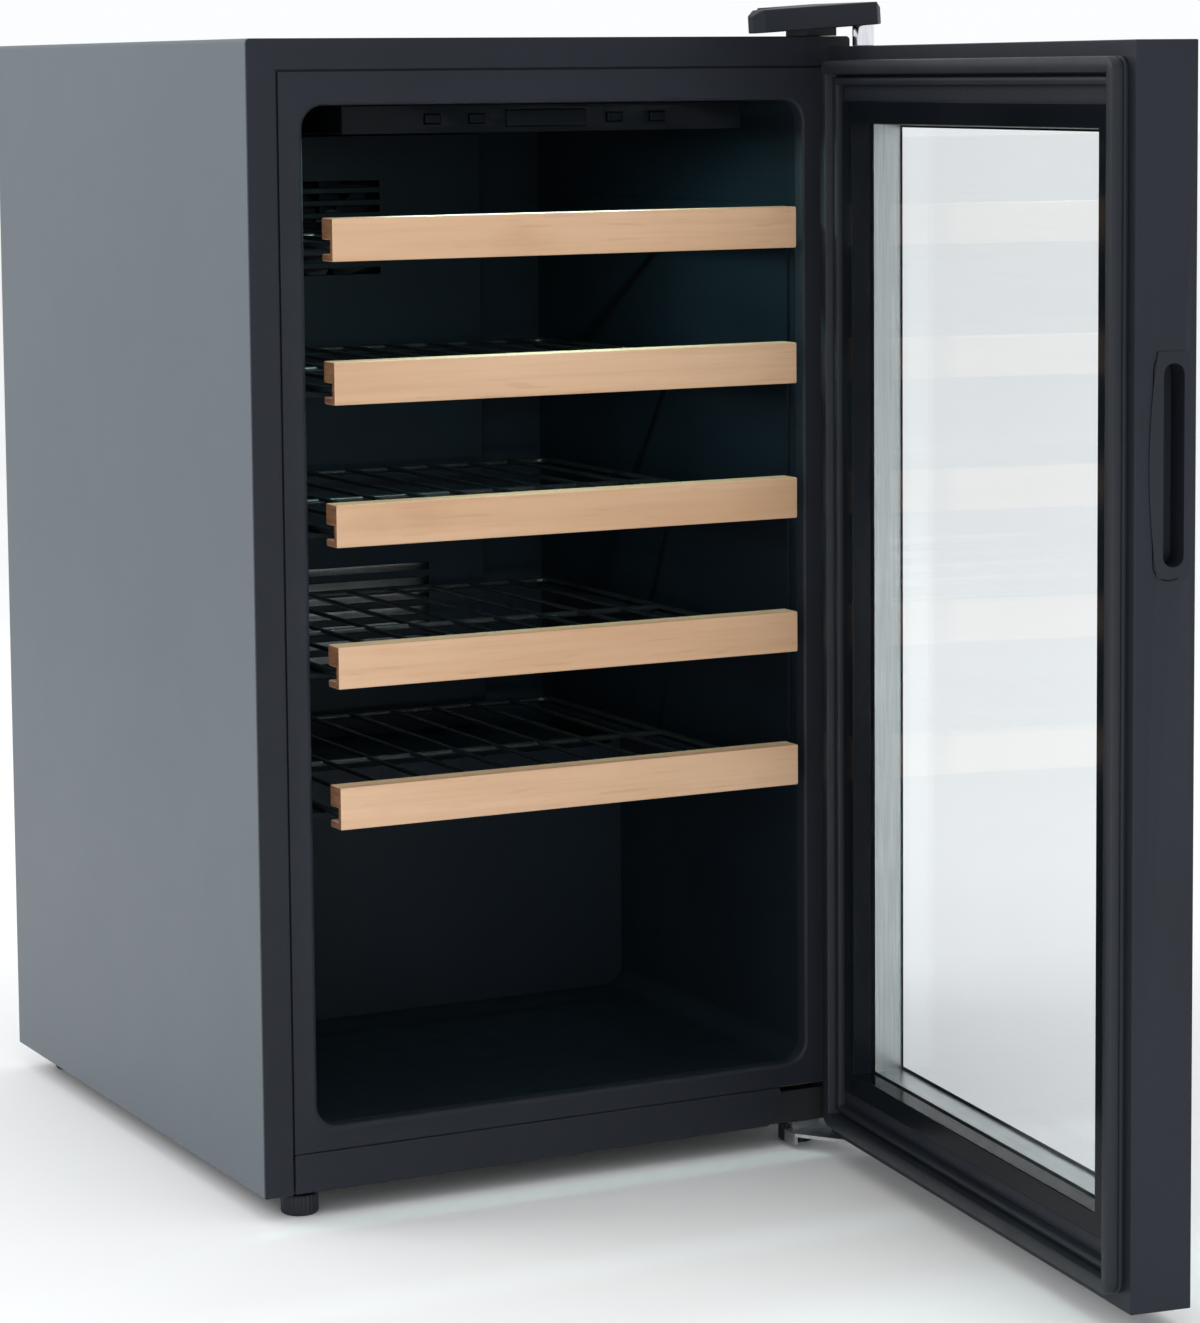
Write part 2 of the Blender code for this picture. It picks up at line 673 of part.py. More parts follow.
def make_bushes(door):
    for name, z in (("top_bush", DOOR_Z[1] - BUSH_LENGTH), ("bottom_bush", DOOR_Z[0])):
        outer = circle(PIN_X, PIN_Y, BUSH_RADIUS)
        bore = circle(PIN_X, PIN_Y, BUSH_BORE)
        solid(name, ring(outer, bore, z, z + BUSH_LENGTH, "Z"), "white_plastic", door, True)


# ---------------------------------------------------------------- hinges

def make_top_hinge(cabinet):
    base = HINGE_COVER_BASE
    pivot = Vector((HINGE_COVER_X[0], 0, base))
    left, right = HINGE_COVER_X
    outline = [(left, -0.042), (left + 0.006, -0.048), (right - 0.007, -0.048),
               (right, -0.041), (right, 0.046), (0.428, 0.046), (0.428, 0.002),
               (left + 0.008, -0.030), (left, -0.034)]
    cover = prism(outline, base, base + HINGE_COVER_HEIGHT, "Z")
    cover = solid("hinge_cover", turn_shape(cover, -HINGE_TILT, 'Y', pivot),
                  "frame_plastic", cabinet)
    chamfer, drop = HINGE_COVER_CHAMFER
    top = base + HINGE_COVER_HEIGHT
    for x, way in ((left, 1), (right, -1)):
        corner = [(x - way * chamfer, 2 * top), (x + way * chamfer, 2 * top),
                  (x + way * chamfer, top), (x, top - drop), (x - way * chamfer, top - drop)]
        cut(cover, turn_shape(prism(corner, -WIDTH, WIDTH), -HINGE_TILT, 'Y', pivot))
    inside = [(left + 0.0025, -0.0410), (left + 0.007, -0.0455), (right - 0.0085, -0.0455),
              (right - 0.0025, -0.0395), (right - 0.0025, 0.0435), (0.4305, 0.0435),
              (0.4305, 0.0007), (left + 0.0095, -0.0322), (left + 0.0025, -0.0355)]
    pocket = prism(inside, HEIGHT / 2, top - HINGE_COVER_ROOF, "Z")
    cut(cover, turn_shape(pocket, -HINGE_TILT, 'Y', pivot))

    plate_low = base + BRACKET_LIFT
    outline = [(0.400, -0.043), (0.472, -0.043), (0.472, 0.040), (0.440, 0.040),
               (0.440, -0.008), (0.400, -0.026)]
    plate = prism(outline, plate_low, plate_low + BRACKET_PLATE, "Z")
    bracket = solid("top_hinge_bracket", turn_shape(plate, -HINGE_TILT, 'Y', pivot),
                    "machine_paint", cabinet)
    join(bracket, box(BRACKET_BLOCK_X, BRACKET_BLOCK_Y, (HEIGHT + GAP, HEIGHT + BRACKET_BLOCK_HEIGHT)))
    for k, y in enumerate(SCREW_PLACES_Y):
        head = [(0.0045, TOP_SCREW_Z), (0.0045, TOP_SCREW_Z + 0.0012), (0.0030, TOP_SCREW_Z + 0.0018)]
        solid(f"top_hinge_screw_{k + 1}", turned(head, TOP_SCREW_X, y, 10), "zinc_steel", cabinet)

    seat = plate_low + (PIN_X - SLEEVE_RADIUS - left) * math.tan(HINGE_TILT) - GAP
    profile = [(PIN_RADIUS, DOOR_Z[1] - BUSH_LENGTH + BUSH_ROOM), (PIN_RADIUS, DOOR_Z[1] + GAP),
               (SLEEVE_RADIUS, DOOR_Z[1] + GAP), (SLEEVE_RADIUS, seat)]
    solid("top_hinge_pin", turned(profile, PIN_X, PIN_Y, 16), "chrome", cabinet, True)


def make_bottom_hinge(cabinet):
    """Stepped plate under the cabinet: an arm below the door, a riser and a screwed pad."""
    thick = BRACKET_PLATE
    washer = 0.0005
    top = DOOR_Z[0] - GAP - washer - GAP
    low = top - thick
    left, right = LOWER_ARM_X
    riser_y = (0.0035, 0.0035 + thick)
    outline = [(left, riser_y[1]), (left, -0.010), (0.452, LOWER_ARM_TIP), (right, LOWER_ARM_TIP),
               (right, riser_y[1])]
    bracket = solid("bottom_hinge_bracket", prism(outline, low, top, "Z"), "zinc_steel", cabinet)
    flange_depth = 0.0085
    join(bracket, box((left, left + thick), (-0.010, riser_y[1]), (top - flange_depth, top)))
    join(bracket, box(LOWER_PAD_X, riser_y, (low, -GAP)))
    join(bracket, box(LOWER_PAD_X, (riser_y[0], LOWER_PAD_END), (-GAP - thick, -GAP)))
    cut(bracket, prism(circle(FEET_X[1], FRONT_FEET_Y, STEM_RADIUS + STEM_ROOM), -thick * 2,
                       thick, "Z"))
    head_radius, head_height = 0.004, 0.0013
    head_top = -GAP - thick - GAP
    for k, y in enumerate(SCREW_PLACES_Y):
        head = prism(circle(LOWER_SCREW_X, y, head_radius, 10), head_top - head_height, head_top, "Z")
        solid(f"bottom_hinge_screw_{k + 1}", head, "zinc_steel", cabinet)
    washer_radius = 0.0065
    profile = [(washer_radius, top + GAP), (washer_radius, top + GAP + washer),
               (PIN_RADIUS, top + GAP + washer), (PIN_RADIUS, DOOR_Z[0] + BUSH_LENGTH - BUSH_ROOM)]
    solid("bottom_hinge_pin", turned(profile, PIN_X, PIN_Y, 16), "chrome", cabinet, True)


# ---------------------------------------------------------------- shelves and feet

def make_shelf(number, z, owner):
    strip = solid(f"shelf_{number}_strip", box(STRIP_X, STRIP_Y, (z, z + STRIP_HEIGHT)),
                  "beech", owner)
    groove_z = [z + h for h in STRIP_GROOVE_Z]
    groove_y = (STRIP_Y[1] - STRIP_GROOVE_DEPTH, STRIP_Y[1] + 0.01)
    cut(strip, box(inset(STRIP_X, -0.01), groove_y, groove_z))

    rack_z = [z + h for h in RACK_Z]
    half = CROSS_WIRE / 2
    spacing = (RACK_X[1] - RACK_X[0] - LOOP_WIRE) / (CROSS_WIRES + 1)
    centres = [RACK_X[0] + LOOP_WIRE / 2 + spacing * (k + 1) for k in range(CROSS_WIRES)]
    bars_x = [(RACK_X[0], RACK_X[0] + LOOP_WIRE), (RACK_X[1] - LOOP_WIRE, RACK_X[1])]
    bars_x += [(x - half, x + half) for x in centres]
    middle = sum(RACK_Y) / 2
    bars_y = [(RACK_Y[0], RACK_Y[0] + LOOP_WIRE), (middle, middle + LOOP_WIRE),
              (RACK_Y[1] - LOOP_WIRE, RACK_Y[1])]
    rack = grille(RACK_X, RACK_Y, bars_x, bars_y, *rack_z, "Z")
    solid(f"shelf_{number}_rack", rack, "wire_coating", owner)


def make_foot(name, x, y, owner):
    edge = 0.001
    stem_top = PAN_HEIGHT - 2 * edge
    profile = [(FOOT_RADIUS - edge, -FOOT_HEIGHT), (FOOT_RADIUS, -FOOT_HEIGHT + edge),
               (FOOT_RADIUS, FOOT_TOP), (STEM_RADIUS, FOOT_TOP), (STEM_RADIUS, stem_top)]
    solid(name, turned(profile, x, y), "rubber", owner, True)


def floor_centre():
    """Middle of the floor area in cabinet coordinates, with the door at its rest angle."""
    cosine, sine = math.cos(OPEN_ANGLE), math.sin(OPEN_ANGLE)
    outer = -DOOR_GAP - DOOR_THICK - PIN_Y
    right = PIN_X + (WIDTH - PIN_X) * cosine - outer * sine
    front = PIN_Y - PIN_X * sine + outer * cosine
    return right / 2, (front + DEPTH) / 2


def main():
    clear_scene()
    cabinet = group("cabinet_group")
    pin = (PIN_X, PIN_Y, 0)
    door = group("door_group", pin, cabinet, OPEN_ANGLE)

    make_shell(cabinet)
    make_back_and_base(cabinet)
    make_liner(cabinet)
    make_rails(cabinet)
    make_machine_bay(cabinet)
    fan_x = make_cold_side(cabinet)
    make_fan(group("fan_group", (fan_x, COVER_Y[1], FAN_Z), cabinet), fan_x)
    buttons = {name: group(f"{name}_group", (x, HOUSING_Y[0], BUTTON_Z), cabinet)
               for name, x in BUTTON_X.items()}
    make_controls(cabinet, buttons)
    make_door(door)
    make_top_hinge(cabinet)
    make_bottom_hinge(cabinet)

    for k, z in enumerate(SHELF_BOTTOMS):
        make_shelf(k + 1, z, group(f"shelf_{k + 1}_group", (WIDTH / 2, 0, z), cabinet))
    for side, x in zip(("left", "right"), FEET_X):
        moving = group(f"front_{side}_foot_group", (x, FRONT_FEET_Y, 0), cabinet)
        make_foot(f"front_{side}_foot", x, FRONT_FEET_Y, moving)
        make_foot(f"rear_{side}_foot", x, REAR_FEET_Y, cabinet)

    centre_x, centre_y = floor_centre()
    cabinet.location = (-centre_x, -centre_y, FOOT_HEIGHT)


main()
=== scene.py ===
"""Looks of the wine cooler: finished meshes, materials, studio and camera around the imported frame.

Positions are in cabinet coordinates: X to the right and Y to the back from the front left edge,
Z up from the cabinet's underside, in metres. The door is built closed and then turned about its pin.
"""

import json
import math

import bmesh
import bpy
from mathutils import Matrix, Vector

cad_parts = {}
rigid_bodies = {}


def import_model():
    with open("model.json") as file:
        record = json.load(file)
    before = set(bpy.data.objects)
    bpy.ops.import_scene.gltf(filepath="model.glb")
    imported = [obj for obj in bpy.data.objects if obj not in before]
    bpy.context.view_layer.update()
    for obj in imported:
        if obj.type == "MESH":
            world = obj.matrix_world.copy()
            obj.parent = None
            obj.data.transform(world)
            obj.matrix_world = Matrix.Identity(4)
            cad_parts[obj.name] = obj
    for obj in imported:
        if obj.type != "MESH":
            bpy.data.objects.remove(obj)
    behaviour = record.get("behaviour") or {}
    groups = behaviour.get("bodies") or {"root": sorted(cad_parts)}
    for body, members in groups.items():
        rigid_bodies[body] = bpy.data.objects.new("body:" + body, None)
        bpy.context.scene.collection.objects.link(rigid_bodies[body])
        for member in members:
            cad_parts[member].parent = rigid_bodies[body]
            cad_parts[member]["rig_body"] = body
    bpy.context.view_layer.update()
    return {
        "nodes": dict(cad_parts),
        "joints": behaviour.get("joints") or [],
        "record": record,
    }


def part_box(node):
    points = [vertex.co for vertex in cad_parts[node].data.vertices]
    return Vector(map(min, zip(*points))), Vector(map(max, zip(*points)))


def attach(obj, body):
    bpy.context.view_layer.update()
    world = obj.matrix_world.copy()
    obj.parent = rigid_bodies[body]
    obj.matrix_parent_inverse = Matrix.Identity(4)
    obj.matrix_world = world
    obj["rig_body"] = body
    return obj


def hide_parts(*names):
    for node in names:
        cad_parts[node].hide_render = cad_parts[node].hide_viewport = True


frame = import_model()

NODES = frame["nodes"]
SLOTS = {part["node"]: part["material_slot"] for part in frame["record"]["subparts"]}
ORIGIN = Vector((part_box("outer_wrap")[0].x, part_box("front_band")[0].y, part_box("outer_wrap")[0].z))
HINGE = next(joint for joint in frame["joints"] if joint["name"] == "door_hinge")
PIN = Vector(HINGE["pos_m"])
DOOR_TURN = (Matrix.Translation(PIN) @ Matrix.Rotation(math.radians(-HINGE["range_deg"][0]), 4, 'Z')
             @ Matrix.Translation(-PIN))
FLOOR_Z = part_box("front_left_foot")[0].z
MM = 0.001


# ---------------------------------------------------------------- places read from the frame

def cabinet_box(node):
    """A CAD node's (x pair, y pair, z pair) in cabinet coordinates."""
    lo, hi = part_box(node)
    return tuple((lo[k] - ORIGIN[k], hi[k] - ORIGIN[k]) for k in range(3))


def closed_box(node):
    """The same for a node on the door, with the door closed."""
    back = Matrix.Translation(-ORIGIN) @ DOOR_TURN.inverted()
    points = [back @ v.co for v in NODES[node].data.vertices]
    return tuple((min(p[k] for p in points), max(p[k] for p in points)) for k in range(3))


def inset(pair, amount):
    return (pair[0] + amount, pair[1] - amount)


def middle(pair):
    return (pair[0] + pair[1]) / 2


# ---------------------------------------------------------------- outlines and shapes

def to_space(axis, u, v, w):
    """Point of an outline that lies across axis: u and v in the plane, w along the axis."""
    return {"X": (w, u, v), "Y": (u, w, v), "Z": (u, v, w)}[axis]


def rectangle(us, vs):
    return [(us[0], vs[0]), (us[1], vs[0]), (us[1], vs[1]), (us[0], vs[1])]


def arc(u, v, radius, start, turn, steps):
    """Points on an arc about (u, v), with its angles in degrees."""
    angles = [math.radians(start + turn * k / steps) for k in range(steps + 1)]
    return [(u + radius * math.cos(a), v + radius * math.sin(a)) for a in angles]


def rounded_rectangle(us, vs, radius, steps=10):
    u, v = inset(us, radius), inset(vs, radius)
    corners = ((u[1], v[0], -90), (u[1], v[1], 0), (u[0], v[1], 90), (u[0], v[0], 180))
    return [p for a, b, start in corners for p in arc(a, b, radius, start, 90, steps)]


def circle(u, v, radius, steps=32):
    return arc(u, v, radius, 0, 360, steps)[:-1]


def prism(outline, lo, hi, axis="Y"):
    shape = bmesh.new()
    ends = [[shape.verts.new(to_space(axis, u, v, w)) for u, v in outline] for w in (lo, hi)]
    shape.faces.new(ends[0])
    shape.faces.new(ends[1][::-1])
    for k in range(len(outline)):
        n = (k + 1) % len(outline)
        shape.faces.new((ends[0][k], ends[1][k], ends[1][n], ends[0][n]))
    return shape


def box(xs, ys, zs):
    return prism(rectangle(xs, zs), *ys)


def loft(loops, closed=False):
    """Skin over loops of points; closed joins the last loop to the first, else the ends are capped."""
    shape = bmesh.new()
    rows = [[shape.verts.new(p) for p in loop] for loop in loops]
    pairs = list(zip(rows, rows[1:]))
    if closed:
        pairs.append((rows[-1], rows[0]))
    else:
        shape.faces.new(rows[0])
        shape.faces.new(rows[-1][::-1])
    for a, b in pairs:
        for k in range(len(a)):
            n = (k + 1) % len(a)
            shape.faces.new((a[k], a[n], b[n], b[k]))
    return shape


def turned(profile, u, v, axis="Z", steps=40):
    """Profile of (radius, height) points turned about an axis through (u, v)."""
    return loft([[to_space(axis, a, b, w) for a, b in circle(u, v, radius, steps)]
                 for radius, w in profile])


def swept_ring(us, vs, profile, radius, axis="Y"):
    """Closed profile of (distance in from the edge, height) swept round a rounded rectangle."""
    loops = []
    for d, w in profile:
        outline = rounded_rectangle(inset(us, d), inset(vs, d), max(radius - d, 0.5 * MM), 8)
        loops.append([to_space(axis, u, v, w) for u, v in outline])
    return loft(loops, closed=True)


def merged(shapes):
    """One bmesh that holds several separate shells."""
    whole = bmesh.new()
    for shape in shapes:
        mesh = bpy.data.meshes.new("part")
        shape.to_mesh(mesh)
        shape.free()
        whole.from_mesh(mesh)
        bpy.data.meshes.remove(mesh)
    return whole


def combined(shape, tool, operation='DIFFERENCE'):
    """Exact Boolean of two bmeshes, as a new bmesh."""
    objects = []
    for part in (shape, tool):
        bmesh.ops.recalc_face_normals(part, faces=part.faces)
        mesh = bpy.data.meshes.new("part")
        part.to_mesh(mesh)
        part.free()
        objects.append(bpy.data.objects.new("part", mesh))
        bpy.context.scene.collection.objects.link(objects[-1])
    boolean = objects[0].modifiers.new("cut", 'BOOLEAN')
    boolean.operation = operation
    boolean.solver = 'EXACT'
    boolean.object = objects[1]
    result = bmesh.new()
    result.from_object(objects[0], bpy.context.evaluated_depsgraph_get())
    for obj in objects:
        mesh = obj.data
        bpy.data.objects.remove(obj)
        bpy.data.meshes.remove(mesh)
    return result


# ---------------------------------------------------------------- materials

LENS_GLOW = 2.2


def srgb(red, green, blue):
    """Linear colour from 0 to 255 display values."""
    return tuple(((c / 255 + 0.055) / 1.055) ** 2.4 if c > 10 else c / 3294.6
                 for c in (red, green, blue)) + (1.0,)


def new_material(name, **constants):
    """Principled material; constants such as specular_ior_level set the shader's own sockets."""
    material = bpy.data.materials.new(name)
    material.use_nodes = True
    shader = material.node_tree.nodes["Principled BSDF"]
    sockets = {socket.name.lower().replace(" ", "_"): socket for socket in shader.inputs}
    for key, value in constants.items():
        sockets[key].default_value = value
    return material


def add_node(material, kind, **settings):
    node = material.node_tree.nodes.new(kind)
    for key, value in settings.items():
        setattr(node, key, value)
    return node


def connect(material, output, socket):
    material.node_tree.links.new(output, socket)


def to_shader(material, output, socket):
    connect(material, output, material.node_tree.nodes["Principled BSDF"].inputs[socket])


def noise(material, scale, stretch=(1, 1, 1), detail=3.0, roughness=0.5):
    """Noise of so many features a metre, squeezed along each axis by stretch."""
    place = add_node(material, "ShaderNodeTexCoord")
    mapping = add_node(material, "ShaderNodeMapping")
    mapping.inputs["Scale"].default_value = stretch
    texture = add_node(material, "ShaderNodeTexNoise")
    texture.inputs["Scale"].default_value = scale
    texture.inputs["Detail"].default_value = detail
    texture.inputs["Roughness"].default_value = roughness
    connect(material, place.outputs["Object"], mapping.inputs["Vector"])
    connect(material, mapping.outputs["Vector"], texture.inputs["Vector"])
    return texture.outputs["Fac"]


def remap(material, value, source, target):
    node = add_node(material, "ShaderNodeMapRange")
    for key, number in zip(("From Min", "From Max", "To Min", "To Max"), (*source, *target)):
        node.inputs[key].default_value = number
    connect(material, value, node.inputs["Value"])
    return node.outputs["Result"]


def mix(material, factor, a, b, blend='MIX'):
    """Colour mix; a and b are colours or outputs."""
    node = add_node(material, "ShaderNodeMix", data_type='RGBA', blend_type=blend)
    connect(material, factor, node.inputs["Factor"])
    for colour, socket in ((a, node.inputs[6]), (b, node.inputs[7])):
        if isinstance(colour, tuple):
            socket.default_value = colour
        else:
            connect(material, colour, socket)
    return node.outputs[2]


def relief(material, height, depth):
    """Bump of the given depth in metres."""
    bump = add_node(material, "ShaderNodeBump")
    bump.inputs["Distance"].default_value = depth
    connect(material, height, bump.inputs["Height"])
    to_shader(material, bump.outputs["Normal"], "Normal")


def moulded(name, dark, light, rough, grain, depth, patches=5.0, **constants):
    """Surface of two close tones in broad patches, with a grain in its gloss and relief."""
    material = new_material(name, **constants)
    broad = remap(material, noise(material, patches, detail=4.0), (0.3, 0.7), (0.0, 1.0))
    fine = noise(material, grain, detail=2.0)
    to_shader(material, mix(material, broad, dark, light), "Base Color")
    worn = noise(material, patches * 6, detail=5.0, roughness=0.65)
    to_shader(material, remap(material, worn, (0.25, 0.75), rough), "Roughness")
    relief(material, fine, depth)
    return material


def brushed(name, dark, light, rough, stretch, depth, **constants):
    """Metal with fine lines along the axis that stretch leaves short."""
    material = new_material(name, metallic=1.0, **constants)
    lines = noise(material, 900.0, stretch, detail=4.0, roughness=0.6)
    tone = remap(material, lines, (0.3, 0.7), (0.0, 1.0))
    to_shader(material, mix(material, tone, dark, light), "Base Color")
    smudge = noise(material, 30.0, detail=4.0)
    to_shader(material, remap(material, smudge, (0.3, 0.7), rough), "Roughness")
    relief(material, lines, depth)
    return material


def zinc():
    """Zinc plating with its faint crystal patches."""
    material = new_material("zinc_steel", metallic=1.0)
    place = add_node(material, "ShaderNodeTexCoord")
    crystals = add_node(material, "ShaderNodeTexVoronoi")
    crystals.inputs["Scale"].default_value = 260.0
    connect(material, place.outputs["Object"], crystals.inputs["Vector"])
    tone = remap(material, crystals.outputs["Color"], (0.0, 1.0), (0.0, 1.0))
    to_shader(material, mix(material, tone, srgb(178, 182, 186), srgb(206, 209, 212)), "Base Color")
    to_shader(material, remap(material, tone, (0.0, 1.0), (0.26, 0.42)), "Roughness")
    relief(material, noise(material, 700.0), 0.02 * MM)
    return material


def beech():
    """Sanded beech: soft bands along X, a few short flecks and stains, darker sawn ends."""
    material = new_material("beech", coat_weight=0.10, coat_roughness=0.35, specular_ior_level=0.4)
    broad = remap(material, noise(material, 5.0, (0.5, 4.0, 4.0), 3.0), (0.32, 0.68), (0.0, 1.0))
    body = mix(material, broad, srgb(199, 158, 122), srgb(218, 182, 149))
    fibres = noise(material, 90.0, (0.05, 2.0, 2.0), 4.0, 0.6)
    grain = mix(material, remap(material, fibres, (0.42, 0.66), (0.0, 0.26)),
                body, srgb(184, 141, 105))
    flecks = noise(material, 300.0, (0.10, 1.2, 1.2), 0.0)
    flecked = mix(material, remap(material, flecks, (0.70, 0.80), (0.0, 0.16)),
                  grain, srgb(152, 108, 76))
    stains = noise(material, 13.0, (0.9, 1.8, 1.8), 3.0)
    aged = mix(material, remap(material, stains, (0.60, 0.80), (0.0, 0.26)),
               flecked, srgb(172, 124, 90))
    place = add_node(material, "ShaderNodeTexCoord")
    parts = add_node(material, "ShaderNodeSeparateXYZ")
    size = add_node(material, "ShaderNodeMath", operation='ABSOLUTE')
    connect(material, place.outputs["Normal"], parts.inputs["Vector"])
    connect(material, parts.outputs["X"], size.inputs[0])
    ends = remap(material, size.outputs[0], (0.70, 0.92), (0.0, 1.0))
    rings = noise(material, 160.0, (1.0, 0.5, 3.0), 4.0)
    sawn = mix(material, remap(material, rings, (0.3, 0.7), (0.0, 1.0)),
               srgb(112, 76, 54), srgb(150, 108, 80))
    to_shader(material, mix(material, ends, aged, sawn), "Base Color")
    to_shader(material, remap(material, fibres, (0.3, 0.7), (0.42, 0.58)), "Roughness")
    relief(material, fibres, 0.03 * MM)
    return material


def glass():
    """Clear pane, faintly blue-green, that lets lamp light through."""
    material = new_material("clear_glass", transmission_weight=1.0, roughness=0.0, ior=1.16)
    streaks = noise(material, 9.0, (1.0, 1.0, 0.4), 2.0)
    tint = remap(material, streaks, (0.3, 0.7), (0.0, 1.0))
    tones = ((0.958, 0.972, 0.977, 1.0), (0.968, 0.980, 0.984, 1.0))
    to_shader(material, mix(material, tint, *tones), "Base Color")
    nodes = material.node_tree.nodes
    path = add_node(material, "ShaderNodeLightPath")
    clear = add_node(material, "ShaderNodeBsdfTransparent")
    clear.inputs["Color"].default_value = tones[0]
    blend = add_node(material, "ShaderNodeMixShader")
    connect(material, path.outputs["Is Shadow Ray"], blend.inputs[0])
    connect(material, nodes["Principled BSDF"].outputs[0], blend.inputs[1])
    connect(material, clear.outputs[0], blend.inputs[2])
    connect(material, blend.outputs[0], nodes["Material Output"].inputs["Surface"])
    return material


def lit_lens():
    """Milky strip lit from inside, brighter over each of its diodes."""
    material = new_material("light_lens", roughness=0.35, emission_strength=LENS_GLOW,
                            base_color=(0.75, 0.90, 0.88, 1.0))
    spots = noise(material, 45.0, (1.0, 0.05, 0.05), 0.0)
    glow = remap(material, spots, (0.35, 0.65), (0.0, 1.0))
    to_shader(material, mix(material, glow, (0.50, 0.92, 0.86, 1.0), (0.80, 1.0, 0.98, 1.0)),
              "Emission Color")
    return material


def make_materials():
    return {
        "side_paint": moulded("side_paint", srgb(76, 86, 94), srgb(79, 89, 97), (0.39, 0.43),
                              380.0, 0.020 * MM, 3.0, specular_ior_level=0.45),
        "front_paint": moulded("front_paint", srgb(24, 28, 36), srgb(29, 33, 41), (0.40, 0.50),
                               420.0, 0.015 * MM, specular_ior_level=0.22),
        "frame_plastic": moulded("frame_plastic", srgb(25, 29, 37), srgb(30, 34, 42), (0.44, 0.56),
                                 1500.0, 0.035 * MM, specular_ior_level=0.22),
        "liner_plastic": moulded("liner_plastic", srgb(18, 25, 32), srgb(24, 32, 39), (0.36, 0.48),
                                 1100.0, 0.02 * MM, specular_ior_level=0.12),
        "foam": moulded("foam", srgb(214, 196, 140), srgb(228, 214, 166), (0.85, 0.95),
                        500.0, 0.3 * MM, 30.0),
        "machine_paint": moulded("machine_paint", srgb(30, 31, 33), srgb(37, 38, 41), (0.42, 0.56),
                                 600.0, 0.03 * MM, specular_ior_level=0.35),
        "zinc_steel": zinc(),
        "chrome": brushed("chrome", srgb(214, 217, 220), srgb(232, 234, 236), (0.06, 0.14),
                          (1.0, 1.0, 0.1), 0.002 * MM),
        "aluminium": brushed("aluminium", srgb(170, 176, 176), srgb(196, 201, 201), (0.30, 0.42),
                             (1.0, 1.0, 0.02), 0.006 * MM),
        "copper": brushed("copper", srgb(176, 104, 70), srgb(208, 134, 96), (0.30, 0.45),
                          (1.0, 1.0, 0.1), 0.008 * MM),
        "rubber": moulded("rubber", srgb(26, 30, 36), srgb(31, 35, 42), (0.38, 0.52),
                          900.0, 0.03 * MM, specular_ior_level=0.25),
        "gloss_plastic": moulded("gloss_plastic", srgb(12, 15, 19), srgb(20, 24, 29), (0.10, 0.18),
                                 160.0, 0.004 * MM, specular_ior_level=0.07),
        "white_plastic": moulded("white_plastic", srgb(214, 214, 208), srgb(226, 226, 221),
                                 (0.40, 0.55), 900.0, 0.03 * MM),
        "clear_glass": glass(),
        "light_lens": lit_lens(),
        "wire_coating": moulded("wire_coating", srgb(22, 24, 27), srgb(30, 32, 35), (0.25, 0.38),
                                500.0, 0.03 * MM, specular_ior_level=0.5),
        "beech": beech(),
    }


# ---------------------------------------------------------------- pieces

MATERIALS = make_materials()


def add_bevel(obj, width, segments=2, limit=30):
    bevel = obj.modifiers.new("edges", 'BEVEL')
    bevel.width = width
    bevel.segments = segments
    bevel.limit_method = 'ANGLE'
    bevel.angle_limit = math.radians(limit)
    bevel.harden_normals = True


def finished(name, shape, nodes, bevel=0.0, segments=2, slot=None, body=None, place=True):
    """Piece from a bmesh in cabinet coordinates, which stands for CAD nodes and rides with them."""
    source = NODES[nodes[0]] if nodes else None
    body = body or source["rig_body"]
    slot = slot or SLOTS[nodes[0]]
    bmesh.ops.recalc_face_normals(shape, faces=shape.faces)
    mesh = bpy.data.meshes.new(name)
    shape.to_mesh(mesh)
    shape.free()
    if place:
        mesh.transform(Matrix.Translation(ORIGIN))
        if body == "door":
            mesh.transform(DOOR_TURN)
    mesh.shade_smooth()
    mesh.set_sharp_from_angle(angle=math.radians(40))
    mesh.materials.append(MATERIALS[slot])
    obj = bpy.data.objects.new(name, mesh)
    bpy.context.scene.collection.objects.link(obj)
    if bevel:
        mesh.shade_smooth()
        add_bevel(obj, bevel, segments)
    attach(obj, body)
    if nodes:
        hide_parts(*nodes)


def softened(node, bevel, segments=2):
    """The CAD node's own shape with its sharp edges rounded."""
    shape = bmesh.new()
    shape.from_mesh(NODES[node].data)
    bmesh.ops.remove_doubles(shape, verts=shape.verts, dist=0.000002)
    bmesh.ops.dissolve_limit(shape, angle_limit=math.radians(0.5), verts=shape.verts,
                             edges=shape.edges)
    finished(f"{node}_finished", shape, [node], bevel, segments, place=False)


def keep_node(node):
    """A hidden CAD node keeps its mesh and gets its material."""
    obj = NODES[node]
    material = MATERIALS[SLOTS[node]]
    if obj.material_slots:
        obj.material_slots[0].material = material
    else:
        obj.data.materials.append(material)


def wires(name, splines, radius, nodes, body, slot):
    """Round wire along several lines of (point, share of the radius), each open or closed."""
    curve = bpy.data.curves.new(name, 'CURVE')
    curve.dimensions = '3D'
    curve.bevel_depth = radius
    curve.bevel_resolution = 3
    curve.use_fill_caps = True
    for points, share, is_closed in splines:
        spline = curve.splines.new('POLY')
        spline.points.add(len(points) - 1)
        spline.use_cyclic_u = is_closed
        spline.use_smooth = True
        for target, point in zip(spline.points, points):
            target.co = (*(Vector(point) + ORIGIN), 1.0)
            target.radius = share
    curve.materials.append(MATERIALS[slot])
    obj = bpy.data.objects.new(name, curve)
    bpy.context.scene.collection.objects.link(obj)
    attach(obj, body)
    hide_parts(*nodes)


# ---------------------------------------------------------------- cabinet shell

SHEET = 1.5 * MM
WRAP_RADIUS = 3.0 * MM
GROOVE = 1.5 * MM


